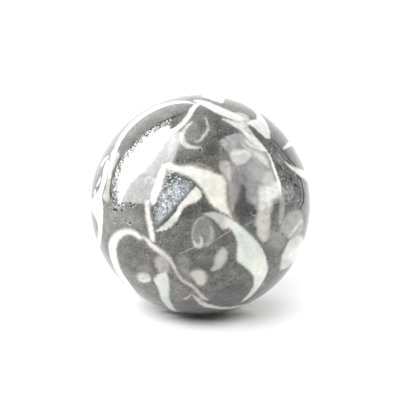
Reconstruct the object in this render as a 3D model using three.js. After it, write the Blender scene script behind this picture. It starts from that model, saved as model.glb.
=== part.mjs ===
// A decorative sphere: one solid ball, cast from grey resin and stone powder with
// broken sea shells in it, then turned round and polished so that the shells show in section.
// Millimetres, +Z up. The origin is the middle of the flat spot that the ball rests on.
import * as THREE from "three";

// Driving dimensions
const BALL_DIAMETER = 100;
const RESTING_FLAT_DIAMETER = 12;

// Facets: steps round the ball, and steps from straight down to straight up over its side
const STEPS_ROUND = 72;
const STEPS_UP = 36;

// Finish: polished mid grey, the mean of the resin and the paler shells
const COMPOSITE_GREY = 0x8f8e8b;
const POLISHED_ROUGHNESS = 0.15;

// What follows from the dimensions
const ballRadius = BALL_DIAMETER / 2;
const flatRadius = RESTING_FLAT_DIAMETER / 2;
const centreHeight = Math.sqrt(ballRadius ** 2 - flatRadius ** 2);

// Half of the ball's section: out along the flat spot, then up the round side to the top.
// Angles are measured at the ball's centre, from straight down, so one step lies on the equator.
function ballProfile() {
  const stepAngle = Math.PI / STEPS_UP;
  const flatEdgeAngle = Math.asin(flatRadius / ballRadius);
  const firstStep = Math.ceil(flatEdgeAngle / stepAngle);
  const profile = [new THREE.Vector2(0, 0), new THREE.Vector2(flatRadius, 0)];
  for (let step = firstStep; step < STEPS_UP; step += 1) {
    const outward = ballRadius * Math.sin(step * stepAngle);
    const height = centreHeight - ballRadius * Math.cos(step * stepAngle);
    profile.push(new THREE.Vector2(outward, height));
  }
  profile.push(new THREE.Vector2(0, centreHeight + ballRadius));
  return profile;
}

// The whole ball in one piece: the shells are part of the casting.
function makeBall() {
  const geometry = new THREE.LatheGeometry(ballProfile(), STEPS_ROUND);
  geometry.rotateX(Math.PI / 2);
  const material = new THREE.MeshStandardMaterial({
    color: COMPOSITE_GREY,
    roughness: POLISHED_ROUGHNESS,
    metalness: 0,
  });
  const ball = new THREE.Mesh(geometry, material);
  ball.name = "ball";
  return ball;
}

const decorativeSphere = new THREE.Group();
decorativeSphere.name = "decorative_sphere";
decorativeSphere.add(makeBall());

export default decorativeSphere;
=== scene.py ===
"""A polished ball of grey cast composite with cut sea shells in it, on a pale studio floor.

The ball is turned, ground flat where it rests, and pitted as a mesh. The shells are drawn on it from
outlines, which become measures on its vertices, and the material colours the ball by those measures.
Lengths are metres unless a name says mm. Outlines are in pixels of the 400 by 400 photograph, and the
camera's own view carries them to the ball.
"""
from typing import NamedTuple

import bpy
import numpy as np
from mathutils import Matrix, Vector


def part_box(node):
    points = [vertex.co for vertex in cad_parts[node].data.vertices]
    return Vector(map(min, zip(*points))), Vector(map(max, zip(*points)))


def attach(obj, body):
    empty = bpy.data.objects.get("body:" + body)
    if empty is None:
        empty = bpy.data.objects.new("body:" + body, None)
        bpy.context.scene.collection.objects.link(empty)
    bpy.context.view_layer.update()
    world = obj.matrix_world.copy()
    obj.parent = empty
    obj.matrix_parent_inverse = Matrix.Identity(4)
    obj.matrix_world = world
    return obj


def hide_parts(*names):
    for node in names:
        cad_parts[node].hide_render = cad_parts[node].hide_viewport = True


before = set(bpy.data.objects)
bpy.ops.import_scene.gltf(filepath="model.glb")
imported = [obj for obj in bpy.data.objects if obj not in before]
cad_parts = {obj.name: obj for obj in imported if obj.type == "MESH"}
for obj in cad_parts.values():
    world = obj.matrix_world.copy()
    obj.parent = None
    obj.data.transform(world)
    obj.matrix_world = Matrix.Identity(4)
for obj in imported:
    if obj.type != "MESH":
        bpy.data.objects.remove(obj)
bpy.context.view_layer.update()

bl_info = {
    "name": "Shell Ball",
    "version": (1, 0, 0),
    "blender": (4, 5, 0),
    "location": "3D View > Sidebar > Shell Ball",
    "description": "A polished composite ball with sea shells in section, and a studio for it",
    "category": "Object",
}

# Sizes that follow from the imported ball
MM = 0.001
BALL_LOW, BALL_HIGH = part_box("ball")
BALL_RADIUS = (BALL_HIGH.x - BALL_LOW.x) / 2
CENTRE_HEIGHT = BALL_HIGH.z - BALL_RADIUS
RADIUS_MM = BALL_RADIUS / MM
BALL_CENTRE = np.array((0.0, 0.0, CENTRE_HEIGHT))

# The photograph's frame, and the ball's round outline in it
FRAME_PX = 400
BALL_MIDDLE_PX = (200.2, 204.3)
BALL_OUTLINE_PX = 110.5

# The camera, far enough away to show the ball at that size
LENS_MM = 85.0
SENSOR_MM = 36.0
CAMERA_ELEVATION = np.radians(12.0)
OUTLINE_TANGENT = BALL_OUTLINE_PX / FRAME_PX * SENSOR_MM / LENS_MM
CAMERA_DISTANCE = BALL_RADIUS / np.sin(np.arctan(OUTLINE_TANGENT))
MM_PER_PX = CAMERA_DISTANCE / MM * SENSOR_MM / LENS_MM / FRAME_PX
VIEW_RIGHT = np.array((1.0, 0.0, 0.0))
VIEW_UP = np.array((0.0, np.sin(CAMERA_ELEVATION), np.cos(CAMERA_ELEVATION)))
VIEW_BACK = np.array((0.0, -np.cos(CAMERA_ELEVATION), np.sin(CAMERA_ELEVATION)))


# Kinds of shape, drawn in the photograph's frame. Cover runs from 0 to 1, and soft is half the width of
# the edge in millimetres.
class Wall(NamedTuple):
    """A shell cut across: places along its middle, each with its width there in pixels."""
    tint: str
    line: tuple
    cover: float = 1.0
    soft: float = 0.36


class Slab(NamedTuple):
    """A shell cut aslant: the space between two smooth edges that run the same way."""
    tint: str
    outer: tuple
    inner: tuple
    cover: float = 1.0
    soft: float = 0.36


class Patch(NamedTuple):
    """A round-cornered piece: its outline, smoothed all the way round."""
    tint: str
    outline: tuple
    cover: float = 1.0
    soft: float = 0.36


# Shells that reach the surface, from the top of the ball to its foot
SHELLS = {
    "rim_wall": Wall("chalk", (
        (109.5, 178, 2.0), (110, 171, 2.8), (112, 160, 3.4), (115.5, 150, 3.6), (120, 140, 3.6),
        (127, 130, 3.6), (137, 120, 3.6), (146, 113.5, 3.5), (155, 108.5, 3.4), (163, 105.5, 3.2),
        (172, 103, 2.9), (182, 102, 2.6), (190, 102.5, 1.8), (195, 104, 1.2)), 0.95, 0.5),
    "top_flake": Patch("chalk", (
        (202, 96.5), (210, 93.5), (218, 94), (224.5, 95.5), (224.3, 99.5), (223, 103), (216, 101.5),
        (208, 98.5)), 0.85, 0.4),
    "crown_wall": Wall("chalk", (
        (194, 100.5, 1.6), (200, 102, 4.0), (207, 104.5, 5.8), (215, 108.5, 7.0), (223, 112, 7.6),
        (230, 115, 7.2), (237, 117.5, 5.6), (243, 120, 3.0)), 0.97, 0.45),
    "shoulder_strand": Wall("chalk", (
        (222.5, 119, 1.4), (227, 120.5, 3.0), (233, 123.5, 4.2), (239, 127, 4.6), (244, 131, 3.8),
        (248, 135.5, 2.0)), 1.0, 0.6),
    "shoulder_rim": Wall("chalk", (
        (266, 150, 1.0), (269, 155, 1.8), (272, 162, 2.4), (275, 171, 2.8), (278, 179, 2.8),
        (280, 187, 2.6), (281, 195, 1.4))),
    "fork_wall": Wall("chalk", (
        (199.5, 103.5, 2.4), (195, 106.5, 4.2), (191.5, 111, 4.8), (189, 116, 4.8), (185, 121, 4.8),
        (180, 126, 4.8), (174.5, 130, 4.4), (168, 134, 3.0))),
    "hook_shell": Wall("chalk", (
        (192, 122.5, 1.2), (187.5, 126, 2.6), (184.5, 130, 3.4), (182.5, 135, 4.0), (183, 140, 4.8),
        (186, 144.5, 5.0), (191, 147, 3.8), (196, 147.5, 2.6), (201, 147.5, 1.2)), 0.8, 0.6),
    "small_crescent": Wall("cream", (
        (205.5, 118, 0.9), (207.3, 124, 1.9), (208, 129, 2.6), (206, 133, 2.8), (203.5, 136, 2.8),
        (201, 139.5, 2.8), (198, 141.5, 2.0), (194.5, 141.5, 1.0)), 0.7, 0.5),
    "shoulder_crescent": Slab(
        "chalk",
        ((242, 100.5), (251, 105.5), (257.5, 111), (263, 117.5), (267.5, 124.5), (270, 131), (270.5, 139)),
        ((246, 105), (252, 109.5), (256.5, 115), (256, 119), (250, 120.5), (247.5, 122.5), (250, 126),
         (255, 129.5), (261, 134), (266, 138.5)), 1.0, 0.35),
    "limb_notch": Wall("chalk", (
        (283, 149, 1.5), (287, 146, 4.0), (291, 143, 5.5), (297, 138, 5.5), (306, 131, 5.0),
        (314, 125, 3.0), (320, 119, 1.0))),
    "limb_wedge": Wall("chalk", (
        (285, 162, 1.0), (289, 165.5, 2.6), (294, 169, 4.4), (299, 171.8, 6.0), (304, 174.5, 7.5),
        (310, 177.5, 9.0), (322, 183, 8.0), (334, 186, 4.5), (344, 187, 1.0)), 1.0, 0.5),
    "left_lens": Wall("chalk", (
        (108, 160, 1.6), (105.8, 169, 4.0), (104, 180, 4.5), (101, 190, 4.4), (98.5, 196, 7.0),
        (97, 202, 11.0), (97.5, 209, 11.4), (99, 215, 8.5), (100, 221, 5.8), (100.3, 229, 3.8),
        (99.5, 238, 3.6), (98.5, 247, 2.0))),
    "left_streak": Wall("chalk", ((108.5, 156, 1.2), (104, 161, 2.2), (101, 167, 1.2)), 0.9),
    "stem_top": Wall("chalk", (
        (164.5, 165, 2.0), (162.5, 172, 6.0), (159.5, 181, 7.2), (156.5, 191, 7.2), (154, 199, 6.0),
        (152.3, 205, 2.0)), 0.92, 0.8),
    "stem_foot": Wall("cream", (
        (147, 201, 3.6), (147.5, 211, 5.0), (149, 220, 5.2), (151, 230, 5.2), (152.5, 238, 4.8),
        (154, 242, 2.6)), 0.95, 0.65),
    "arch": Slab(
        "cream",
        ((162.5, 165.5), (169, 163), (178, 165.5), (190, 165), (200, 168), (208, 170), (215, 173),
         (222, 175.5), (225.5, 181), (226, 192), (227, 203), (229.5, 211), (234, 222)),
        ((170, 170), (178, 173), (187, 176.5), (195, 181.5), (200, 186.5), (204, 193), (208, 199.5),
         (213, 206.5), (219, 211), (228, 216)), 1.0, 0.75),
    "leg": Slab(
        "cream",
        ((196, 186.5), (191, 191), (185, 198), (180, 204.5), (176, 211), (171, 217.5), (166, 222.5),
         (156, 230.5)),
        ((202, 191.5), (201.5, 197.5), (197, 201.5), (190, 204.5), (184, 208), (181, 213), (178, 219),
         (174, 224), (168, 229), (156, 232)), 0.97, 0.35),
    "c_shell": Slab(
        "chalk",
        ((143, 238), (137.5, 232.5), (130, 229.5), (122, 229.5), (116, 232.5), (111, 237.5), (109, 244),
         (109.5, 253), (112.2, 263), (117.2, 273.5), (123.4, 282), (130.5, 289), (141, 297)),
        ((142, 239.5), (138.5, 239), (134.5, 236), (129, 234.5), (123, 236.5), (119, 240), (116.5, 246),
         (116.5, 254), (118.5, 264), (122.5, 273), (128, 281), (134, 289.5), (142, 297.5)), 0.97, 0.8),
    "long_wall": Wall("blush", (
        (143, 236.5, 2.0), (147, 240, 3.8), (152, 245.5, 5.0), (158, 250, 5.4), (164, 254.5, 5.2),
        (169.5, 259.5, 4.6), (173.5, 266, 3.6), (177, 273, 2.8), (181, 279, 2.8), (186, 282.8, 3.2),
        (192, 286, 3.2), (197, 291, 3.4), (202, 296, 3.2), (208, 300, 1.6)), 0.92, 0.6),
    "foot_wall": Wall("blush", (
        (192.5, 294.5, 1.2), (196, 298, 3.0), (200, 302, 4.0), (205, 304.8, 4.2), (212, 306.5, 3.2),
        (222, 308, 2.6), (232, 307.6, 2.4), (241, 306, 2.2), (250, 303, 1.2)), 0.85, 0.55),
    "foot_mint": Slab(
        "mint",
        ((158, 274), (153.5, 279.5), (157, 286), (159, 292), (161, 298.5), (165, 304.5), (174, 312.5)),
        ((166.5, 272), (169, 280), (169.5, 290), (169.5, 299), (172.5, 305), (177, 311)), 0.92, 0.6),
    "leaf": Patch("pearl", (
        (223, 247), (227, 250), (227.5, 257), (225, 263), (221, 268), (217, 270.3), (210.5, 270.5),
        (213.5, 265), (214.5, 259), (217.5, 252)), 0.85, 0.6),
    "blush_pebble": Patch("blush", (
        (190.5, 273.5), (194, 270.5), (200, 269.5), (204.5, 272), (206.5, 279), (203.5, 285), (199, 285.5),
        (194.5, 281)), 0.85, 0.9),
    "mint_crescent": Slab(
        "mint",
        ((203, 214), (211, 211.8), (220, 213), (228, 216.5), (235, 221), (241, 226), (247, 231.5),
         (253, 237), (259, 244), (264, 252.5), (267, 261), (268, 269), (265.5, 276.5), (260, 286),
         (252, 295.5), (240, 303.5)),
        ((210, 217.5), (217, 222.5), (223, 229.5), (228, 228), (232, 231), (235, 236.5), (237, 243),
         (236.5, 255), (237.5, 261), (244, 266.5), (250, 272), (253.7, 278), (253, 286), (248.5, 293.5),
         (242, 301)), 1.0, 0.5),
    "right_leaf": Patch("cream", (
        (301, 235), (304, 241), (301, 250), (296.5, 258), (291, 264.5), (285, 269), (280.5, 270),
        (280.5, 264), (281.5, 257), (284.8, 249), (289.5, 240.5)), 0.9, 0.9),
}

# Grey lines that part one shell from the next
CHANNELS = {
    "shoulder_gap": Wall("slate", (
        (248, 124.5, 1.2), (254, 129.5, 2.4), (260, 136, 3.6), (265, 142.5, 4.0), (270, 149, 3.6),
        (275, 157, 2.0))),
}

# Clouds in the grey: buried shell, tan and dark resin, and painted shade at the ball's foot and along the
# edge of the softbox's reflection, in the order that they are laid
CLOUDS_AND_SHADE = {
    "left_pale": Patch("cream", (
        (114, 150), (119, 153), (116, 163), (111.5, 175), (110, 190), (108, 202), (104, 200), (106, 186),
        (109, 165)), 0.5, 0.9),
    "left_dark": Patch("slate", (
        (103.5, 166), (103, 175), (99.5, 188), (94, 199), (92, 196), (95, 183), (99, 172)), 0.55, 0.45),
    "left_fleck_high": Wall("chalk", ((100.8, 177, 1.0), (99, 182, 1.6), (96.5, 186.5, 1.0)), 0.9, 0.3),
    "left_fleck_low": Wall("chalk", ((95.5, 189.5, 1.0), (94.8, 192, 1.5), (94, 194.5, 1.0)), 0.9, 0.3),
    "left_wedge": Wall("slate", ((112.5, 145, 1.6), (109.5, 150, 3.0), (105, 158, 1.6)), 0.55, 0.5),
    "foot_rim_left": Wall("slate", (
        (106.5, 256, 1.0), (111, 266, 1.6), (119, 278.5, 1.6), (130, 291, 1.0)), 0.35, 0.5),
    "hook_disc": Patch("pearl", (
        (187, 122), (194, 120.5), (199, 126), (200, 134), (196, 142), (188, 141), (184.5, 132)), 0.22, 0.9),
    "hook_dark": Patch("slate", (
        (196, 122), (200, 122), (203, 129), (202, 133), (199, 131), (198, 126)), 0.45, 0.4),
    "hook_fan": Patch("pearl", (
        (171, 137), (180, 131), (181, 141), (188, 148), (178, 150), (174, 162), (169, 158), (168, 146)),
        0.35, 1.0),
    "crown_mist": Patch("pearl", (
        (184, 118), (206, 116), (212, 130), (206, 146), (196, 155), (182, 154), (178, 142)), 0.15, 2.5),
    "crown_dark": Patch("slate", (
        (213, 137), (222, 128), (236, 127), (243, 131), (234, 135), (222, 141), (214, 150), (205, 152),
        (207, 143)), 0.12, 1.2),
    "crown_knot": Patch("chalk", (
        (232, 114), (242, 113), (249, 118), (250, 124), (244, 127), (234, 123)), 0.7, 0.9),
    "shoulder_pale": Slab(
        "cream", ((243, 121), (249, 128), (255, 136), (261, 143), (268, 151)),
        ((236, 124), (243, 132), (248, 139), (254, 144), (263, 151)), 0.75, 0.5),
    "streak_mist": Patch("pearl", (
        (240, 135), (250, 138), (262, 148), (268, 160), (263, 165), (252, 157), (243, 148)), 0.38, 1.5),
    "streak_high": Wall("chalk", (
        (244.5, 139, 1.2), (249, 144, 2.2), (256, 147.5, 2.2), (266, 151, 1.2)), 0.55, 0.6),
    "streak_low": Wall("chalk", ((243, 144.5, 1.0), (248, 149.5, 2.0), (255, 152, 1.4)), 0.4, 0.6),
    "streak_gap": Wall("slate", ((244, 148, 1.4), (250, 151.5, 1.6), (257, 150.5, 1.0)), 0.35, 0.4),
    "streak_pool": Wall("chalk", (
        (255, 153, 2.0), (260, 157, 5.0), (265, 161.5, 5.0), (269, 167, 2.0)), 0.5, 1.0),
    "window_lintel": Wall("cream", (
        (230.5, 154, 1.6), (238, 153, 2.6), (247, 152, 2.0), (250.5, 154, 1.2)), 0.6, 0.7),
    "window": Patch("chalk", (
        (230.5, 153), (248, 151.5), (250.5, 155), (248, 160), (243, 164), (236, 164), (231, 158)),
        0.5, 0.8),
    "blue_slate": Patch("slate", (
        (168, 169), (182, 174.5), (197, 185), (188, 194), (178, 209), (164, 225), (156, 222), (153, 207),
        (160, 190)), 0.85, 0.5),
    "ice": Patch("ice", (
        (164, 192), (177, 184), (190, 187), (186, 196), (176, 205), (166, 217), (157, 223), (158, 208)),
        0.75, 1.2),
    "ice_high": Patch("ice", (
        (176, 178), (184, 178), (193, 185), (189, 193), (182, 198), (176, 192)), 0.5, 1.2),
    "facet_shade": Wall("slate", (
        (196, 186, 2.0), (187, 195, 4.6), (179, 206, 5.0), (170, 217, 4.6), (160, 227, 2.0)), 0.5, 0.8),
    "facet_top": Patch("slate", (
        (170, 172), (183, 175), (192, 182), (184, 183), (174, 181), (168, 184)), 0.5, 0.9),
    "ice_spot": Patch("ice", ((170, 185), (175, 183), (178, 187), (175, 191), (171, 190)), 0.4, 0.8),
    # Painted shade: a dark band along the edge of the softbox's reflection
    "painted_lamp_edge_shade": Wall("soot", (
        (118, 203.5, 2.0), (112, 198, 2.6), (110.5, 189, 2.0), (113, 180, 2.0), (116, 171, 2.2),
        (121, 162, 2.2), (127, 154, 2.2), (132, 147, 2.2), (140, 139, 2.2), (148, 133, 2.4),
        (155, 127.5, 2.6), (162, 123, 2.6), (170, 119, 2.4), (178, 115, 2.2), (186, 111.5, 1.2)),
        0.75, 0.45),
    "arch_seam": Wall("slate", (
        (198, 187, 1.2), (204, 196, 2.2), (211, 206, 2.4), (219, 213, 1.6)), 0.5, 0.45),
    "leg_seam": Wall("slate", (
        (194, 188.5, 1.0), (185, 198, 2.0), (177, 209, 2.0), (168, 220, 1.2)), 0.45, 0.45),
    "arch_tan": Wall("tan", (
        (225, 174, 3.0), (229, 182, 5.0), (230, 195, 6.0), (231, 207, 6.0), (235, 218, 5.0),
        (239, 224, 2.0)), 0.6, 0.9),
    "arch_blush": Patch("blush", (
        (219, 163), (227, 161), (231, 170), (230, 180), (226, 177), (221, 172)), 0.55, 0.9),
    "arch_roof": Wall("rose", (
        (190, 163, 2.0), (198, 164.5, 4.0), (207, 167, 3.0), (214, 171, 2.0)), 0.4, 0.6),
    "dark_bay": Patch("slate", (
        (237, 187), (245, 184), (249, 198), (254, 206), (253, 216), (246, 222), (238, 217)), 0.5, 1.3),
    "panel_smudge": Patch("slate", ((231, 175), (239, 173), (246, 177), (245, 184), (236, 185)), 0.35, 1.2),
    "panel_mist": Patch("pearl", ((250, 163), (262, 165), (268, 175), (262, 181), (252, 176)), 0.3, 1.5),
    "bay_flake": Patch("pearl", ((246, 190), (250, 196), (257, 200), (255, 204), (249, 203)), 0.5, 0.7),
    "spire_top": Patch("pearl", (
        (266, 173), (271, 172), (273.5, 178), (275, 183), (267, 184), (262.5, 182)), 0.75, 1.2),
    "spire_arm": Patch("chalk", (
        (262, 186), (270, 186), (272, 199), (270, 213), (260, 213), (259, 203)), 0.7, 1.6),
    "spire_white": Patch("chalk", (
        (271, 184), (279, 182), (281.5, 189), (279, 196), (273, 199), (267, 202), (264, 198), (267, 190)),
        0.8, 1.2),
    "spire_rose": Patch("blush", (
        (259, 212), (268, 211), (270, 220), (269, 228), (262, 229), (256, 226), (256, 218)), 0.95, 1.4),
    "spire_tip": Patch("blush", (
        (258, 227), (268, 226), (270, 233), (267, 240), (264, 242), (260, 239), (257, 233)), 0.85, 0.9),
    "spire_gap": Wall("slate", (
        (277, 198.5, 1.6), (275.5, 206, 3.2), (274, 214, 3.4), (272, 222, 2.6), (270.5, 228, 1.0)),
        0.35, 0.5),
    "side_strip": Wall("pearl", (
        (283, 187, 2.0), (283, 196, 4.0), (282.3, 206, 5.4), (281.5, 216, 5.0), (280, 224, 2.4)),
        0.72, 0.8),
    "side_seam": Wall("slate", (
        (284.5, 182, 1.0), (285.5, 192, 1.8), (286, 203, 1.8), (285, 214, 1.0)), 0.4, 0.5),
    "right_cloud": Patch("pearl", (
        (288, 214), (299, 210), (303, 220), (301, 232), (290, 238), (281, 232)), 0.72, 1.5),
    "right_low": Patch("pearl", ((268, 231), (282, 232), (284, 246), (276, 250), (269, 244)), 0.42, 2.0),
    # Painted shade: the lower right of the foot, darkened where it mirrors the floor's shadow
    "painted_sole_shade": Patch("slate", (
        (212, 298), (226, 289), (246, 284), (250, 299), (237, 306), (220, 307)), 0.55, 1.6),
    "left_mist": Patch("pearl", (
        (107, 208), (138, 208), (144, 224), (130, 228), (116, 229), (107, 236)), 0.18, 3.0),
    "right_crumbs": Wall("cream", (
        (288, 237.5, 1.5), (292, 233, 2.6), (297, 226, 2.6), (302, 220, 2.6)), 0.5, 0.8),
    "limb_dark": Patch("slate", (
        (270, 141), (276, 143), (284, 152), (292, 161), (296, 167), (290, 166), (283, 160), (277, 157),
        (270, 150)), 0.5, 0.7),
    "limb_pale": Patch("pearl", ((278, 153), (282, 155), (284, 161), (281, 164), (277, 160)), 0.4, 0.6),
    "right_dark": Patch("slate", (
        (278, 160), (286, 165), (293, 173), (300, 179), (304, 192), (303, 205), (296, 212), (288, 211),
        (285, 198), (282, 180)), 0.15, 1.0),
    "right_patch": Patch("pearl", ((287, 186), (292, 185), (294, 193), (291, 201), (287, 199)), 0.45, 1.3),
    "snail_body": Patch("pearl", (
        (203, 216.5), (211, 221), (214.5, 233), (210, 245), (200, 248), (193, 240), (194, 225)), 0.24, 0.6),
    "snail_ring": Wall("pearl", (
        (206, 216.5, 1.4), (199, 218.5, 2.2), (195, 223.5, 2.2), (193, 230, 2.0), (192.3, 236, 2.2),
        (193.5, 241.5, 3.0)), 0.5, 0.4),
    "snail_hook": Wall("cream", (
        (193.5, 241, 2.2), (196, 245, 4.4), (199.5, 246.5, 3.6), (201.5, 243, 2.8), (201.3, 238.5, 2.4),
        (199.5, 236.5, 1.2)), 0.55, 0.4),
    "snail_side": Wall("pearl", (
        (210.5, 227, 2.2), (212, 233, 4.2), (211, 240, 4.6), (207, 246, 3.4)), 0.5, 0.5),
    "snail_slit": Wall("slate", (
        (211, 219.5, 1.6), (216, 225, 3.2), (221, 231, 3.2), (225, 236, 1.6)), 0.6, 0.4),
    "snail_pocket": Patch("slate", (
        (218, 235), (225, 232), (231, 234), (232, 241), (226, 246), (218, 245)), 0.45, 0.9),
    "crescent_rust": Patch("rust", (
        (227, 229.5), (231, 232), (235, 240), (235.5, 254), (232, 258), (230, 246)), 0.32, 0.8),
    "leaf_shade": Wall("slate", ((229, 250, 2.0), (228, 262, 3.0), (221, 271, 2.0)), 0.25, 0.8),
    "olive_zone": Patch("tan", ((140, 266), (147, 264.5), (152, 269), (150, 274), (141, 274)), 0.4, 1.4),
    "cream_pool": Patch("cream", (
        (137, 275), (143, 273), (150, 276), (151, 280), (146, 282), (139, 281)), 0.6, 1.2),
    "cream_lip": Wall("cream", ((140.5, 280, 1.2), (145, 280.8, 2.6), (150, 279, 1.6)), 0.6, 0.8),
    "blush_zone": Patch("rose", (
        (157, 256), (163, 257), (169, 264), (168, 272), (160, 273), (155, 265)), 0.75, 1.0),
    "foot_warm": Patch("rose", (
        (171, 278), (180, 284), (190, 288), (188, 300), (177, 303), (171, 296)), 0.16, 1.6),
    "foot_curl": Wall("blush", (
        (183, 299, 0.9), (186, 298.5, 1.6), (189, 296.5, 1.6), (191, 294.5, 0.9)), 0.6, 0.3),
    "foot_pale": Patch("blush", ((199, 294), (205, 298), (206, 304), (200, 301)), 0.4, 0.6),
    "long_mist_high": Patch("pearl", (
        (177, 257), (186, 255), (190, 262), (186, 272), (178, 268)), 0.22, 1.2),
    "long_mist_low": Patch("pearl", (
        (181, 271), (190, 270), (193, 280), (190, 284), (183, 280)), 0.22, 1.0),
    # Painted shade: the foot of the ball, darkened where it mirrors the floor's shadow
    "painted_foot_shade": Patch("slate", (
        (160, 306), (185, 300), (215, 301), (246, 301), (240, 311), (200, 318), (168, 314)), 0.8, 2.0),
    "veil_swirl": Wall("chalk", (
        (145.8, 183, 1.2), (146, 179.5, 1.8), (149, 177.3, 1.8), (152.5, 178.5, 1.8), (153, 181.5, 1.8),
        (150.5, 183.5, 1.0)), 0.3, 0.6),
}

# Stains on the shells themselves
STAINS = {
    "crescent_head": Patch("haze_grey", (
        (200, 214), (211, 210), (222, 212), (228, 219), (222, 231), (212, 224)), 0.62, 1.8),
    "crescent_neck": Patch("chalk", (
        (226, 214), (236, 221), (243, 229), (240, 235), (232, 231), (226, 226)), 0.55, 1.6),
    "crescent_foot": Patch("cream", (
        (250, 262), (270, 255), (271, 275), (256, 298), (240, 306), (244, 292), (252, 278)), 0.55, 1.8),
    "crescent_streak": Wall("chalk", ((253.5, 276.5, 0.8), (258, 273, 1.4), (264, 268.5, 0.8)), 0.7, 0.35),
    "crescent_tail": Patch("haze_grey", ((252, 284), (258, 292), (240, 306), (240, 298)), 0.35, 1.6),
    "arch_gold": Wall("gold", (
        (218, 175, 4.0), (224, 183, 5.0), (224.5, 195, 5.0), (226, 206, 4.0)), 0.42, 0.9),
    "arch_heart": Patch("chalk", (
        (175, 168), (196, 171), (212, 180), (219, 192), (215, 200), (203, 186), (188, 175)), 0.7, 1.2),
    "leg_gold": Wall("gold", (
        (201, 196, 2.0), (197, 200.5, 3.0), (190, 203.5, 2.4), (183, 208, 1.6)), 0.4, 0.6),
    "leg_tail": Patch("haze_grey", ((176, 218), (178, 224), (160, 234), (154, 231), (165, 222)), 0.45, 1.0),
    "long_wall_tail": Patch("haze_grey", (
        (176, 270), (182, 276), (196, 284), (210, 299), (204, 303), (184, 286), (173, 272)), 0.42, 0.9),
    "long_wall_head": Wall("chalk", ((146, 239.5, 2.0), (154, 247, 3.0), (162, 252.5, 2.6)), 0.45, 0.5),
    "mint_blush": Patch("blush", ((158, 270), (168, 270), (169, 277), (160, 279)), 0.55, 0.9),
    "mint_foot": Patch("haze_grey", ((160, 298), (170, 298), (178, 312), (170, 312)), 0.45, 1.0),
    "leaf_core": Patch("chalk", (
        (222.5, 250), (225.5, 252), (225, 258), (221, 264), (217.5, 263), (218, 256)), 0.22, 0.8),
    "right_leaf_foot": Patch("haze_grey", ((280, 258), (292, 262), (286, 271), (278, 271)), 0.55, 1.4),
    "right_leaf_top": Patch("haze_grey", (
        (296, 234), (305, 236), (300, 244), (291, 250), (286, 257), (282, 254), (289, 241)), 0.45, 1.2),
    "right_leaf_core": Patch("chalk", ((288, 248), (293, 245), (292, 254), (287, 257)), 0.5, 1.0),
    "lens_shade": Wall("haze_grey", ((92.5, 212, 1.5), (95, 219, 2.5), (97, 229, 2.0)), 0.45, 0.7),
}

# Ground where the polish is coarse and glitters
COARSE = {
    "slate_facet": CLOUDS_AND_SHADE["blue_slate"],
    "arch_tip": Patch("ice", (
        (220, 204), (225, 203), (230, 211), (232, 220), (226, 216), (221, 211)), 0.8, 0.6),
    "lamp_edge": Wall("ice", (
        (114, 202, 8.0), (114.5, 190, 8.0), (117, 176, 7.0), (122, 164, 6.0), (128, 155, 5.5),
        (137, 144, 5.5), (148, 134, 6.0), (158, 127.5, 6.0), (168, 122.5, 5.0), (178, 117, 3.0),
        (186, 111.5, 1.5)), 0.42, 0.5),
    "right_rough": Patch("ice", (
        (272, 141), (284, 150), (296, 167), (303, 182), (304, 200), (298, 211), (288, 210), (283, 188),
        (277, 165), (270, 150)), 0.6, 1.0),
    "left_scar": Patch("ice", (
        (108, 203), (118, 204), (126, 204), (136, 203), (136, 210), (124, 214), (110, 212)), 0.3, 0.8),
}

# Holes that the polish left open, and ring-shaped dents: place and radius in pixels
PITS = (
    (114.2, 210, 1.4), (116.2, 210.4, 1.1), (121.6, 210.5, 1.1), (131, 206.5, 0.9), (130.2, 203.6, 0.8),
    (134, 205, 0.8), (123, 206.8, 0.7), (129.6, 223.6, 0.7), (200.2, 149.6, 0.98), (222, 130.6, 0.68),
    (222.6, 132.8, 0.52), (210.6, 116.8, 0.6), (223.2, 150, 0.6), (187, 157.2, 0.45), (215.2, 163.2, 0.52),
    (228.4, 287.3, 0.75), (228.6, 276, 0.45), (291.6, 179, 1.5), (295.6, 185.2, 1.6), (282.6, 234, 0.83),
    (276.4, 230.8, 0.75), (135, 268, 0.75), (146, 249.6, 0.68), (144.2, 252.6, 0.6), (148.6, 254.4, 0.6),
    (157.4, 269.2, 0.68), (106.4, 241, 0.83), (199.6, 203, 0.6), (203.4, 204.4, 0.6), (203.6, 195, 0.6),
    (178.8, 218.8, 0.52), (176.6, 224.4, 0.75), (175.4, 210.4, 0.52), (172.4, 278.6, 0.68),
    (175, 297.6, 0.52), (194.2, 282.4, 0.68), (252.6, 213.2, 0.6), (201.6, 132.6, 0.6), (118.5, 206.2, 0.6),
    (112.4, 213, 0.6), (126.6, 208.4, 0.6), (119, 213.4, 0.5), (136.8, 209, 0.5), (113, 203.4, 0.7),
)
RINGS = ((109.8, 206.2, 1.2), (115.5, 220.5, 1.7), (127.0, 220.8, 1.8))
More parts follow.
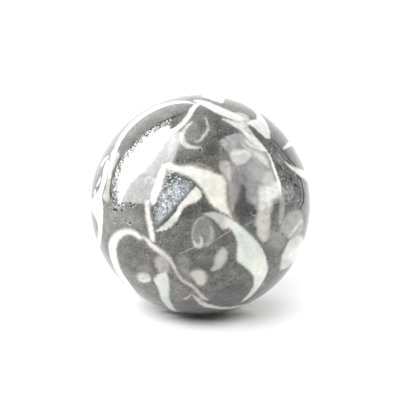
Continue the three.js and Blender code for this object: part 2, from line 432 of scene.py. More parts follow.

# Cracks, the rings' brims and blots in the polish, dark with dirt and painted shade
CRACKS = {
    "limb_high": Wall("soot", (
        (270, 139.5, 0.8), (276, 143, 1.3), (281, 148, 1.5), (285, 153.5, 1.3), (290, 160, 1.3),
        (295, 166, 0.8))),
    "limb_low": Wall("soot", ((276, 150, 0.8), (281, 154.5, 1.2), (287, 161, 1.2), (291, 165, 0.8))),
    "limb_blot": Wall("soot", ((272, 144.5, 0.8), (275.5, 147.5, 3.0), (279, 150, 0.8))),
    "side_blot": Wall("soot", ((278.5, 164, 0.8), (281, 167.5, 3.4), (283.5, 169.5, 0.8))),
    "right_blot_high": Wall("soot", ((289, 176.5, 0.8), (291.5, 179.5, 3.4), (293, 182, 0.8))),
    "right_blot_low": Wall("soot", ((294, 183, 0.8), (296, 185.5, 3.4), (299.5, 188, 0.8))),
    "right_blot_side": Wall("soot", ((296.5, 175, 0.8), (298.5, 177.5, 2.6), (300, 180.5, 0.8))),
    "bay_dirt_and_shade": Wall("soot", ((251, 212, 0.6), (253.5, 214, 1.6), (256, 216, 0.6))),
    "ring_left": Wall("soot", (
        (114.4, 218.6, 0.7), (116, 218.2, 0.9), (117, 220.4, 0.9), (116.2, 222.6, 0.9), (114.6, 222.2, 0.9),
        (113.9, 220.2, 0.7))),
    "ring_right": Wall("soot", (
        (126.8, 219.4, 0.7), (128.4, 219.4, 0.9), (130.4, 221.8, 0.9), (130.6, 224.2, 0.9),
        (128.8, 223.6, 0.9), (127, 221.4, 0.7))),
    "right_outer": Wall("soot", (
        (296, 174, 0.7), (300, 178, 1.5), (302, 185, 1.2), (303.5, 194, 1.4), (303, 202, 1.2),
        (299, 209, 0.7))),
    "right_inner": Wall("soot", ((297, 179, 0.7), (300, 188, 1.2), (300.5, 197, 1.1), (298, 206, 0.7))),
    "arch_line": Wall("soot", (
        (200, 191, 0.6), (204.5, 198, 1.0), (210, 206, 1.0), (217, 212.5, 0.6)), 0.8),
}

# A scratch across the front
HAIRLINE = (
    (180, 254), (189, 249.5), (203, 244.5), (217, 239), (228, 232), (249, 223.5), (264, 214), (287, 203),
    (304, 199.4))


# Settings that a user would change
def tint_setting(name, description, colour):
    return bpy.props.FloatVectorProperty(
        name=name, description=description, subtype="COLOR", size=3, default=colour, min=0, max=1)


def height_setting(name, description, height):
    return bpy.props.FloatProperty(
        name=name, description=description, subtype="DISTANCE", unit="LENGTH",
        default=height, min=0, max=0.001, precision=6)


def level_setting(name, description, level):
    return bpy.props.FloatProperty(name=name, description=description, default=level, min=0, max=100)


class BallSettings(bpy.types.PropertyGroup):
    """Finish of the ball: the colours of its grey and of its shells, and its relief."""

    matrix: tint_setting("Grey", "The cast grey", (0.108, 0.106, 0.101))
    chalk: tint_setting("Chalk", "The whitest shell walls", (0.75, 0.75, 0.725))
    cream: tint_setting("Cream", "The cream shells", (0.76, 0.75, 0.69))
    gold: tint_setting("Gold", "Yellowed places on cream shells", (0.74, 0.70, 0.56))
    blush: tint_setting("Blush", "The faintly pink walls", (0.60, 0.56, 0.52))
    mint: tint_setting("Mint", "The mother-of-pearl slabs", (0.61, 0.655, 0.605))
    rose: tint_setting("Rose", "The pink buried pieces", (0.45, 0.425, 0.405))
    pearl: tint_setting("Pearl", "The pale grey buried pieces", (0.44, 0.44, 0.43))
    haze_grey: tint_setting("Haze grey", "Places where grey shows through a shell", (0.36, 0.36, 0.35))
    tan: tint_setting("Tan", "Brownish clouds beside shells", (0.27, 0.25, 0.195))
    rust: tint_setting("Rust", "Reddish specks and stains", (0.16, 0.12, 0.105))
    ice: tint_setting("Ice", "Bluish crystals in the dark facet", (0.50, 0.545, 0.585))
    slate: tint_setting("Slate", "Dark clouds and seams", (0.047, 0.050, 0.052))
    # Soot colours dark specks in the grey, and dirt with painted shade in the pits and cracks and along the
    # edge of the softbox's reflection
    soot: tint_setting("Soot", "Dirt in pits and cracks", (0.010, 0.010, 0.010))
    stand_proud: height_setting(
        "Shell height", "How far the hard shells stand above the softer grey", 0.00002)
    scratch_depth: height_setting("Scratch depth", "Depth of the hairline scratch", 0.00003)


class StudioSettings(bpy.types.PropertyGroup):
    """The studio's light levels, where 1 renders as white."""

    front: level_setting("Front", "Level of the white in front and overhead", 0.35)
    back: level_setting("Back", "What the backdrop behind the ball adds", 1.4)
    left_corner: level_setting("Left corner", "What the lit corner behind at the left adds", 0.9)
    softbox: level_setting("Softbox", "Level of the tall lamp at the left", 20.0)
    glow: level_setting("Glow", "Level of the wall just in front of the lamp", 13.8)
    left_wall: level_setting("Left wall", "Level of the rest of the wall round the lamp", 10.5)
    right_wall: level_setting("Right wall", "Level of the wall at the right", 5.4)
    right_top: level_setting("Right top", "Level of that wall near its top", 7.5)
    right_side: level_setting("Right side", "Level of that wall where it turns to the front", 2.8)
    floor_lamps: bpy.props.FloatProperty(
        name="Floor lamps", description="Power of the lamps that whiten the floor",
        subtype="POWER", unit="POWER", default=27.0, min=0, max=200)


# Curves and places on the ball
LINE_STEPS = 6


def smooth_line(points, closed=False):
    """A curve through all of the points, with LINE_STEPS samples to a span."""
    points = np.asarray(points, float)
    if closed:
        points = np.vstack((points[-1:], points, points[:2]))
    gaps = np.maximum(np.linalg.norm(np.diff(points[:, :2], axis=0), axis=1), 1e-6)
    slopes = np.diff(points, axis=0) / gaps[:, None]
    middle = (slopes[:-1] * gaps[1:, None] + slopes[1:] * gaps[:-1, None]) / (gaps[1:] + gaps[:-1])[:, None]
    tangents = np.vstack((slopes[:1], middle, slopes[-1:]))
    share = np.linspace(0, 1, LINE_STEPS, endpoint=False)[:, None]
    spans = []
    for start in range(1 if closed else 0, len(points) - (2 if closed else 1)):
        p, q = points[start], points[start + 1]
        m, n = tangents[start] * gaps[start], tangents[start + 1] * gaps[start]
        spans.append(
            (2 * share ** 3 - 3 * share ** 2 + 1) * p + (share ** 3 - 2 * share ** 2 + share) * m
            + (3 * share ** 2 - 2 * share ** 3) * q + (share ** 3 - share ** 2) * n)
    if not closed:
        spans.append(points[-1:])
    return np.vstack(spans)


def both_sides(line, half_widths):
    """The closed outline that runs up one side of a line and down the other."""
    along = np.gradient(line, axis=0)
    along /= np.linalg.norm(along, axis=1)[:, None]
    aside = along[:, ::-1] * (1, -1) * half_widths[:, None]
    return np.vstack((line + aside, (line - aside)[::-1]))


def outline_px(shape):
    """The closed outline of a shape in the photograph's frame."""
    if isinstance(shape, Patch):
        return smooth_line(shape.outline, closed=True)
    if isinstance(shape, Slab):
        return np.vstack((smooth_line(shape.outer), smooth_line(shape.inner)[::-1]))
    line = smooth_line(shape.line)
    return both_sides(line[:, :2], line[:, 2] / 2)


def on_ball(points):
    """Places on the ball, in millimetres from its middle, where the camera sees these pixels.

    A point outside the ball's outline lies round behind it, by its distance past the outline."""
    flat = (np.asarray(points, float) - BALL_MIDDLE_PX) * (MM_PER_PX, -MM_PER_PX)
    distance = CAMERA_DISTANCE / MM
    outline = BALL_OUTLINE_PX * MM_PER_PX
    reach = np.linalg.norm(flat, axis=1)
    lean = np.arctan(np.minimum(reach, outline) / distance)
    turn = np.arcsin(np.minimum(distance * np.sin(lean) / RADIUS_MM, 1)) - lean
    turn += np.maximum(reach - outline, 0) / RADIUS_MM
    outward = (flat[:, :1] * VIEW_RIGHT + flat[:, 1:] * VIEW_UP) / np.maximum(reach, 1e-9)[:, None]
    return RADIUS_MM * (np.cos(turn)[:, None] * VIEW_BACK + np.sin(turn)[:, None] * outward)


class Section(NamedTuple):
    """A shape on the ball: its closed outline in millimetres from the ball's middle, and its finish."""
    tint: str
    outline: np.ndarray
    cover: float
    soft: float


def sections(shapes):
    return [
        Section(shape.tint, on_ball(outline_px(shape)), shape.cover, shape.soft)
        for shape in shapes.values()]


REACH_MM = 6.0


def signed_distance(made, places):
    """Millimetres from each place to a section's edge, negative inside it, and at most REACH_MM."""
    middle = made.outline.mean(axis=0)
    spread = np.linalg.norm(made.outline - middle, axis=1).max()
    near = np.flatnonzero(np.linalg.norm(places - middle, axis=1) < spread + REACH_MM)
    result = np.full(len(places), REACH_MM)
    if not len(near):
        return result
    points = places[near]
    axis = middle / np.linalg.norm(middle)
    flat = np.stack(across_axes(axis))
    x, y = flat @ points.T
    nearest = np.full(len(near), np.inf)
    inside = np.zeros(len(near), bool)
    ends = np.roll(made.outline, -1, axis=0)
    for a, b in zip(made.outline, ends):
        step = b - a
        share = np.clip((points - a) @ step / max(step @ step, 1e-12), 0, 1)
        gap = points - a - share[:, None] * step
        nearest = np.minimum(nearest, np.einsum("ij,ij->i", gap, gap))
        (ax, ay), (bx, by) = flat @ a, flat @ b
        if ay != by:
            crosses = (ay > y) != (by > y)
            inside ^= crosses & (x < (bx - ax) * (y - ay) / (by - ay) + ax)
    inside &= points @ axis > 0
    distance = np.sqrt(nearest)
    result[near] = np.minimum(np.where(inside, -distance, distance), REACH_MM)
    return result


# A slanting direction that no axis lies along
SLANT = (0.3, 0.5, 0.8)


def across_axes(axis):
    """Two directions that are square to an axis and to each other."""
    across = np.cross(axis, SLANT)
    across /= np.linalg.norm(across)
    return across, np.cross(axis, across)


def signed_offset(line, places):
    """Millimetres across from a line on the ball, negative on one side of it, and at most REACH_MM."""
    best = np.full(len(places), REACH_MM)
    for a, b in zip(line, line[1:]):
        step = b - a
        share = np.clip((places - a) @ step / (step @ step), 0, 1)
        gap = places - a - share[:, None] * step
        distance = np.linalg.norm(gap, axis=1)
        side = np.where(gap @ np.cross(a, step) < 0, -1, 1)
        closer = distance < np.abs(best)
        best[closer] = (side * distance)[closer]
    return best


def smooth_step(low, high, values):
    share = np.clip((values - low) / (high - low), 0, 1)
    return share * share * (3 - 2 * share)


# The sides that the photograph doesn't show
HIDDEN_SEED = 11
HIDDEN_FROM = np.radians(85)
HIDDEN_GAP_MM = 1.3
HIDDEN_TRIES = 200


class Kind(NamedTuple):
    """A kind of hidden shell: how many, and the least and most length, turn and width in millimetres."""
    count: int
    length: tuple
    turn: tuple
    width: tuple
    taper: float
    tints: tuple


HIDDEN_SHELLS = (
    Kind(7, (30, 46), (0.9, 2.0), (6.5, 10.5), 0.8, ("mint", "cream", "chalk")),
    Kind(2, (30, 38), (4.2, 5.2), (1.6, 2.2), 0.3, ("cream", "chalk")),
    Kind(16, (26, 50), (0.5, 2.0), (1.8, 2.8), 0.35, ("chalk", "cream", "blush", "chalk")),
    Kind(10, (14, 22), (0.4, 1.4), (3.0, 5.5), 0.6, ("cream", "mint", "pearl", "chalk")),
    Kind(10, (5, 9), (0.1, 0.5), (2.8, 5.0), 0.5, ("pearl", "rose", "cream", "mint")),
)
HIDDEN_CLOUDS = Kind(
    26, (8, 26), (0.2, 1.6), (3.0, 9.0), 0.5, ("pearl", "slate", "rose", "pearl", "slate", "tan"))

# The least and most cover and softness of the hidden shells' and clouds' edges
SHELL_COVER = (0.85, 1.0)
SHELL_SOFT_MM = (0.28, 0.5)
CLOUD_COVER = (0.25, 0.6)
CLOUD_SOFT_MM = (0.7, 1.6)

# A hidden strip: steps along it, its sway, the swell of its width and the waves of that, and its tips
STRIP_STEPS = 30
STRIP_SWAY = (-0.5, 0.5)
STRIP_SWELL = 0.22
STRIP_WAVES = (5, 11)
STRIP_TIP = 0.01


def strip(rng, kind, tint, cover, soft):
    """A curved strip of a kind, anywhere on the ball."""
    axis = rng.normal(size=3)
    axis /= np.linalg.norm(axis)
    length, turn, width = (rng.uniform(*span) for span in (kind.length, kind.turn, kind.width))
    sway, start = rng.uniform(*STRIP_SWAY), rng.uniform(0, 2 * np.pi)
    share = np.linspace(0, 1, STRIP_STEPS)
    heading = start + turn * share + sway * np.sin(2 * np.pi * share)
    steps = np.stack((np.cos(heading), np.sin(heading)), axis=1) * length / len(share)
    line = np.cumsum(steps, axis=0)
    swell = 1 + STRIP_SWELL * np.sin(share * rng.uniform(*STRIP_WAVES) + start)
    narrowing = np.sin(np.pi * np.clip(share, STRIP_TIP, 1 - STRIP_TIP)) ** kind.taper
    half_widths = width / 2 * swell * narrowing
    flat = both_sides(line, half_widths) - line.mean(axis=0)
    across, along = across_axes(axis)
    reach = np.maximum(np.linalg.norm(flat, axis=1), 1e-9)
    outward = (flat[:, :1] * across + flat[:, 1:] * along) / reach[:, None]
    angle = reach / RADIUS_MM
    outline = RADIUS_MM * (np.cos(angle)[:, None] * axis + np.sin(angle)[:, None] * outward)
    return Section(tint, outline, cover, soft)


def out_of_view(made):
    return (made.outline @ VIEW_BACK).max() < RADIUS_MM * np.cos(HIDDEN_FROM)


def clear_of(made, others):
    """Whether a section keeps its distance from all of the others."""
    apart = np.linalg.norm(made.outline[:, None] - others[None], axis=2)
    return apart.min() > HIDDEN_GAP_MM


def hidden_shells(rng, front):
    """Shells of the same kinds as the front's, spread over the rest of the ball clear of each other."""
    taken = np.vstack([made.outline for made in front])
    found = []
    for kind in HIDDEN_SHELLS:
        for number in range(kind.count):
            tint = kind.tints[number % len(kind.tints)]
            for _ in range(HIDDEN_TRIES):
                cover, soft = rng.uniform(*SHELL_COVER), rng.uniform(*SHELL_SOFT_MM)
                made = strip(rng, kind, tint, cover, soft)
                if out_of_view(made) and clear_of(made, taken):
                    found.append(made)
                    taken = np.vstack((taken, made.outline))
                    break
    return found


def hidden_clouds(rng):
    """Clouds in the grey round the rest of the ball."""
    found = []
    for number in range(HIDDEN_CLOUDS.count):
        tint = HIDDEN_CLOUDS.tints[number % len(HIDDEN_CLOUDS.tints)]
        for _ in range(HIDDEN_TRIES):
            cover, soft = rng.uniform(*CLOUD_COVER), rng.uniform(*CLOUD_SOFT_MM)
            made = strip(rng, HIDDEN_CLOUDS, tint, cover, soft)
            if out_of_view(made):
                found.append(made)
                break
    return found


# The holes, seen and hidden
HIDDEN_PITS = 40
HIDDEN_RINGS = 8

# Their sizes as shares of a hole's radius, and how much dirt and painted shade a ring has
PIT_REACH = 1.4
PIT_DEPTH = 1.3
RING_MIDDLE = 0.8
RING_WIDTH = 0.35
RING_DEPTH = 0.25
RING_DIRT_AND_SHADE = 0.5

# Places drawn for each hidden hole, since many of them are in view, and how few of the holes are wide
HOLE_DRAWS = 4
HOLE_FEW_WIDE = 3


class Holes(NamedTuple):
    """Holes in the polish: their middles and radii in millimetres."""
    middles: np.ndarray
    radii: np.ndarray


def holes(rng, seen, hidden_count):
    """The holes that the photograph shows, and others of the same size out of its view."""
    seen = np.array(seen)
    spread = rng.normal(size=(hidden_count * HOLE_DRAWS, 3))
    spread *= RADIUS_MM / np.linalg.norm(spread, axis=1)[:, None]
    hidden = spread[spread @ VIEW_BACK < RADIUS_MM * np.cos(HIDDEN_FROM)][:hidden_count]
    radii = seen[:, 2] * MM_PER_PX
    spread_radii = radii.min() + np.ptp(radii) * rng.uniform(size=len(hidden)) ** HOLE_FEW_WIDE
    return Holes(np.vstack((on_ball(seen[:, :2]), hidden)), np.append(radii, spread_radii))


def sunk(pits, rings, places):
    """How deep the holes are at each place, in millimetres, and how much dirt and painted shade it has
    there.
    """
    depth = np.zeros(len(places))
    dirt = np.zeros(len(places))
    for middle, radius in zip(*pits):
        distance = np.linalg.norm(places - middle, axis=1)
        hollow = np.clip(1 - (distance / (radius * PIT_REACH)) ** 2, 0, 1)
        depth = np.maximum(depth, radius * PIT_DEPTH * hollow)
        dirt = np.maximum(dirt, hollow)
    for middle, radius in zip(*rings):
        distance = np.linalg.norm(places - middle, axis=1)
        hollow = np.exp(-((distance - radius * RING_MIDDLE) / (radius * RING_WIDTH)) ** 2)
        depth = np.maximum(depth, radius * RING_DEPTH * hollow)
        dirt = np.maximum(dirt, hollow * RING_DIRT_AND_SHADE)
    return depth, dirt


def hole_gaps(found, places):
    """Millimetres from each place to the nearest pit's brim."""
    gaps = np.full(len(places), REACH_MM)
    for middle, radius in zip(*found):
        gaps = np.minimum(gaps, np.linalg.norm(places - middle, axis=1) - radius)
    return gaps


# The mesh of the ball
FIRST_CUTS = 6
EDGE_BANDS_MM = (1.4, 0.6, 0.18)
CLOUD_BANDS_MM = (1.3, 0.2)
HOLE_BANDS_MM = (1.6, 0.9, 0.6, 0.4)
CRACK_BANDS_MM = (1.3, 0.7, 0.35)
CRACK_DEPTH_MM = 0.2
# How dark the cracks are painted, with dirt and painted shade
CRACK_DIRT_AND_SHADE = 0.7
CLOUD_EDGE = 0.5
RELIEF_EDGE_MM = 0.3
SCRATCH_HALF_MM = 0.3
HIDDEN_LEVELS = 2
HIDDEN_CLOUD_LEVELS = 1
FLAT_TOLERANCE = 1e-7
WELD_GAP = 1e-5


def only_selected(piece):
    bpy.ops.object.select_all(action="DESELECT")
    piece.select_set(True)
    bpy.context.view_layer.objects.active = piece


def read_vectors(items, name):
    values = np.empty(len(items) * 3, np.float32)
    items.foreach_get(name, values)
    return values.reshape(-1, 3).astype(float)


def put_vertices(mesh, places):
    mesh.vertices.foreach_set("co", places.astype(np.float32).ravel())
    mesh.update()


def turn_ball():
    """A round ball of even triangles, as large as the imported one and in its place."""
    bpy.ops.object.select_all(action="DESELECT")
    bpy.ops.mesh.primitive_ico_sphere_add(
        subdivisions=FIRST_CUTS, radius=BALL_RADIUS, location=BALL_CENTRE)
    ball = bpy.context.object
    ball.name = "shell_ball"
    ball.data.name = "shell_ball"
    bpy.ops.object.transform_apply(location=True, rotation=True, scale=True)
    return ball


def halve_faces(ball, chosen):
    """Cuts the chosen faces in four and lays the new vertices on the round of the ball."""
    mesh = ball.data
    only_selected(ball)
    bpy.context.tool_settings.mesh_select_mode = (False, False, True)
    bpy.ops.object.mode_set(mode="EDIT")
    bpy.ops.mesh.select_all(action="DESELECT")
    bpy.ops.object.mode_set(mode="OBJECT")
    mesh.polygons.foreach_set("select", chosen)
    bpy.ops.object.mode_set(mode="EDIT")
    bpy.ops.mesh.subdivide(number_cuts=1, ngon=False)
    bpy.ops.mesh.select_all(action="SELECT")
    bpy.ops.mesh.quads_convert_to_tris()
    bpy.ops.object.mode_set(mode="OBJECT")
    outward = read_vectors(mesh.vertices, "co") - BALL_CENTRE
    outward /= np.linalg.norm(outward, axis=1)[:, None]
    put_vertices(mesh, BALL_CENTRE + outward * BALL_RADIUS)


def shell_edges(shells, channels, places):
    """The distance to the nearest shell's edge, and that shell's number, at each place."""
    edge = np.full(len(places), REACH_MM)
    owner = np.zeros(len(places), int)
    for number, made in enumerate(shells):
        distance = signed_distance(made, places)
        nearer = distance < edge
        edge[nearer] = distance[nearer]
        owner[nearer] = number
    for made in channels:
        edge = np.maximum(edge, -signed_distance(made, places))
    return edge, owner


def cloud_gaps(clouds, places):
    """Millimetres from each place to the nearest cloud's blurred edge."""
    gaps = np.full(len(places), REACH_MM)
    for made in clouds:
        gaps = np.minimum(gaps, np.abs(signed_distance(made, places)) - made.soft * CLOUD_EDGE)
    return gaps


def refine(ball, shells, channels, clouds, cracks, pits, rings):
    """Cuts the mesh finer round the shells' edges, the clouds' edges, the cracks and the pits."""
    for level, hole_band in enumerate(HOLE_BANDS_MM):
        middles = (read_vectors(ball.data.polygons, "center") - BALL_CENTRE) / MM
        in_view = middles @ VIEW_BACK > 0
        chosen = hole_gaps(pits, middles) < hole_band
        chosen |= hole_gaps(rings, middles) < hole_band
        if level < len(EDGE_BANDS_MM):
            near_edge = np.abs(shell_edges(shells, channels, middles)[0]) < EDGE_BANDS_MM[level]
            chosen |= near_edge & (in_view | (level < HIDDEN_LEVELS))
            chosen |= cloud_gaps(cracks, middles) < CRACK_BANDS_MM[level]
        if level < len(CLOUD_BANDS_MM):
            near_cloud = cloud_gaps(clouds, middles) < CLOUD_BANDS_MM[level]
            chosen |= near_cloud & (in_view | (level < HIDDEN_CLOUD_LEVELS))
        halve_faces(ball, chosen)


def grind_flat(ball):
    """Cuts the ball at the floor and presses what is below flat."""
    mesh = ball.data
    only_selected(ball)
    bpy.ops.object.mode_set(mode="EDIT")
    bpy.ops.mesh.select_all(action="SELECT")
    bpy.ops.mesh.bisect(plane_co=(0, 0, 0), plane_no=(0, 0, 1))
    bpy.ops.mesh.select_all(action="SELECT")
    bpy.ops.mesh.quads_convert_to_tris()
    bpy.ops.mesh.remove_doubles(threshold=WELD_GAP)
    bpy.ops.object.mode_set(mode="OBJECT")
    places = read_vectors(mesh.vertices, "co")
    places[places[:, 2] < FLAT_TOLERANCE, 2] = 0
    put_vertices(mesh, places)


def raise_relief(mesh, heights):
    """Moves the round surface out by these heights in millimetres, and gives the mesh its true normals.

    The normals are the ball's own, tilted only by the relief, so that its uneven triangles don't show."""
    places = read_vectors(mesh.vertices, "co")
    on_flat = places[:, 2] < FLAT_TOLERANCE
    outward = places - BALL_CENTRE
    outward /= np.linalg.norm(outward, axis=1)[:, None]
    plain = read_vectors(mesh.vertex_normals, "vector")
    heights = np.where(on_flat, 0, heights) * MM
    places += outward * heights[:, None]
    places[:, 2] = np.maximum(places[:, 2], 0)
    put_vertices(mesh, places)
    tilted = outward + read_vectors(mesh.vertex_normals, "vector") - plain
    tilted /= np.linalg.norm(tilted, axis=1)[:, None]
    corners = np.empty(len(mesh.loops), np.int32)
    mesh.loops.foreach_get("vertex_index", corners)
    faces = np.repeat(np.arange(len(mesh.polygons)), 3)
    level_face = np.abs(read_vectors(mesh.polygons, "center")[:, 2]) < FLAT_TOLERANCE
    normals = np.where(level_face[faces][:, None], (0.0, 0.0, -1.0), tilted[corners])
    mesh.normals_split_custom_set(normals.tolist())


def write_measure(mesh, name, values):
    made = mesh.attributes.new(name, "FLOAT", "POINT")
    made.data.foreach_set("value", values.astype(np.float32))


def write_tint(mesh, name, colours):
    made = mesh.attributes.new(name, "FLOAT_COLOR", "POINT")
    made.data.foreach_set("color", colours.astype(np.float32).ravel())


def cover_of(made, places):
    return made.cover * smooth_step(made.soft, -made.soft, signed_distance(made, places))


def lay_coats(settings, coats, places):
    """The coats' colour times their cover, and the cover, at each place, one laid over the other."""
    laid = np.zeros((len(places), 4))
    for made in coats:
        cover = cover_of(made, places)
        colour = np.append(getattr(settings, made.tint), 1.0)
        laid = laid * (1 - cover)[:, None] + colour * cover[:, None]
    return laid


# The material: how soft a speck's rim is, and the least cover that a coat is divided by
SPECK_RIM = 0.5
THINNEST_COAT = 0.001


class Nodes:
    """Short words for making and linking a material's nodes."""

    def __init__(self, tree):
        self.tree = tree

    def add(self, kind, **settings):
        node = self.tree.nodes.new("ShaderNode" + kind)
        for name, value in settings.items():
            setattr(node, name, value)
        return node

    def feed(self, socket, value):
        if isinstance(value, bpy.types.NodeSocket):
            self.tree.links.new(value, socket)
        else:
            socket.default_value = value

    def math(self, operation, *values):
        node = self.add("Math", operation=operation)
        for socket, value in zip(node.inputs, values):
            self.feed(socket, value)
        return node.outputs[0]

    def product(self, first, *rest):
        for value in rest:
            first = self.math("MULTIPLY", first, value)
        return first

    def scaled(self, value, low, high, to_low=0.0, to_high=1.0, smooth=False):
        node = self.add("MapRange", interpolation_type="SMOOTHSTEP" if smooth else "LINEAR", clamp=True)
        for name, number in (
            ("Value", value), ("From Min", low), ("From Max", high),
            ("To Min", to_low), ("To Max", to_high),
        ):
            self.feed(node.inputs[name], number)
        return node.outputs[0]

    def mix(self, share, one, other, blend="MIX"):
        node = self.add("Mix", data_type="RGBA", blend_type=blend)
        self.feed(node.inputs["Factor"], share)
        self.feed(node.inputs["A"], one)
        self.feed(node.inputs["B"], other)
        return node.outputs["Result"]

    def shaded(self, colour, shade):
        return self.mix(1.0, colour, shade, blend="MULTIPLY")

    def noise(self, vector, scale, detail=2.0, roughness=0.5, w=None):
        node = self.add("TexNoise", noise_dimensions="3D" if w is None else "4D")
        self.feed(node.inputs["Vector"], vector)
        node.inputs["Scale"].default_value = scale
        node.inputs["Detail"].default_value = detail
        node.inputs["Roughness"].default_value = roughness
        if w is not None:
            self.feed(node.inputs["W"], w)
        return node.outputs["Fac"]

    def specks(self, vector, spacing, radius, share):
        """Round specks of about this radius, in this share of cells of this size, all in millimetres."""
        cells = self.add("TexVoronoi")
        self.feed(cells.inputs["Vector"], vector)
        cells.inputs["Scale"].default_value = 1 / spacing
        parts = self.add("SeparateColor")
        self.tree.links.new(cells.outputs["Color"], parts.inputs[0])
        size = self.scaled(parts.outputs[0], 1 - share, 1.0, 0.0, radius / spacing)
        near = self.math("SUBTRACT", size, cells.outputs["Distance"])
        return self.scaled(near, 0.0, radius / spacing * SPECK_RIM, smooth=True)

    def facets(self, vector, size, tilt):
        """The surface's normal, tilted a different way in each cell of this size in millimetres."""
        cells = self.add("TexVoronoi")
        self.feed(cells.inputs["Vector"], vector)
        cells.inputs["Scale"].default_value = 1 / size
        way = self.add("VectorMath", operation="SUBTRACT")
        self.tree.links.new(cells.outputs["Color"], way.inputs[0])
        way.inputs[1].default_value = (0.5, 0.5, 0.5)
        lean = self.add("VectorMath", operation="SCALE")
        self.tree.links.new(way.outputs[0], lean.inputs[0])
        self.feed(lean.inputs["Scale"], tilt)
        total = self.add("VectorMath", operation="ADD")
        self.tree.links.new(self.add("NewGeometry").outputs["Normal"], total.inputs[0])
        self.tree.links.new(lean.outputs[0], total.inputs[1])
        unit = self.add("VectorMath", operation="NORMALIZE")
        self.tree.links.new(total.outputs[0], unit.inputs[0])
        return unit.outputs[0]

    def measure(self, name):
        return self.add("Attribute", attribute_name=name)

    def coat(self, under, name, grain=1.0):
        """Lays a coat that the vertices carry over a colour, its cover broken up by a grain."""
        laid = self.measure(name)
        cover = self.math("MINIMUM", self.math("MULTIPLY", laid.outputs["Alpha"], grain), 1.0)
        colour = self.add("VectorMath", operation="SCALE")
        self.tree.links.new(laid.outputs["Color"], colour.inputs[0])
        whole = self.math("MAXIMUM", laid.outputs["Alpha"], THINNEST_COAT)
        self.tree.links.new(self.math("DIVIDE", 1.0, whole), colour.inputs["Scale"])
        return self.mix(cover, under, colour.outputs[0])


def cast_grey(nodes, place, settings):
    """The grey resin: clouds, mottle and grain in it, and dark and pale specks of filler."""
    drift = nodes.scaled(nodes.noise(place, 0.06, 3.0), 0.35, 0.65, 0.86, 1.14)
    mottle = nodes.scaled(nodes.noise(place, 0.24, 5.0, 0.65), 0.34, 0.66, 0.70, 1.36)
    grain = nodes.scaled(nodes.noise(place, 1.2, 3.0, 0.7), 0.34, 0.66, 0.56, 1.48)
    grey = nodes.shaded((*settings.matrix, 1), nodes.product(drift, mottle, grain))
    crowd = nodes.scaled(nodes.noise(place, 0.13, 2.0), 0.45, 0.62)
    dark = nodes.product(nodes.specks(place, 2.3, 0.75, 0.5), crowd, 0.6)
    grey = nodes.mix(dark, grey, (*settings.slate, 1))
    pepper = nodes.product(nodes.specks(place, 1.3, 0.55, 0.5), crowd, 0.85)
    grey = nodes.mix(pepper, grey, (*settings.soot, 1))
    salt = nodes.product(nodes.specks(place, 1.6, 0.36, 0.3), 0.5)
    grey = nodes.mix(salt, grey, (*settings.chalk, 1))
    pale = nodes.product(nodes.specks(place, 3.1, 0.6, 0.4), 0.5)
    return nodes.mix(pale, grey, (*settings.pearl, 1))


# How much wider a shell's soft edge is drawn than its outline says
EDGE_BLUR = 1.4

# The polish: how it bends light, and how uneven it is
RESIN_IOR = 1.5
PEEL_MM = 0.010

# Size of the facets where the polish is coarse, and how far they tilt
FACET_MM = 0.48
FACET_TILT = 0.5


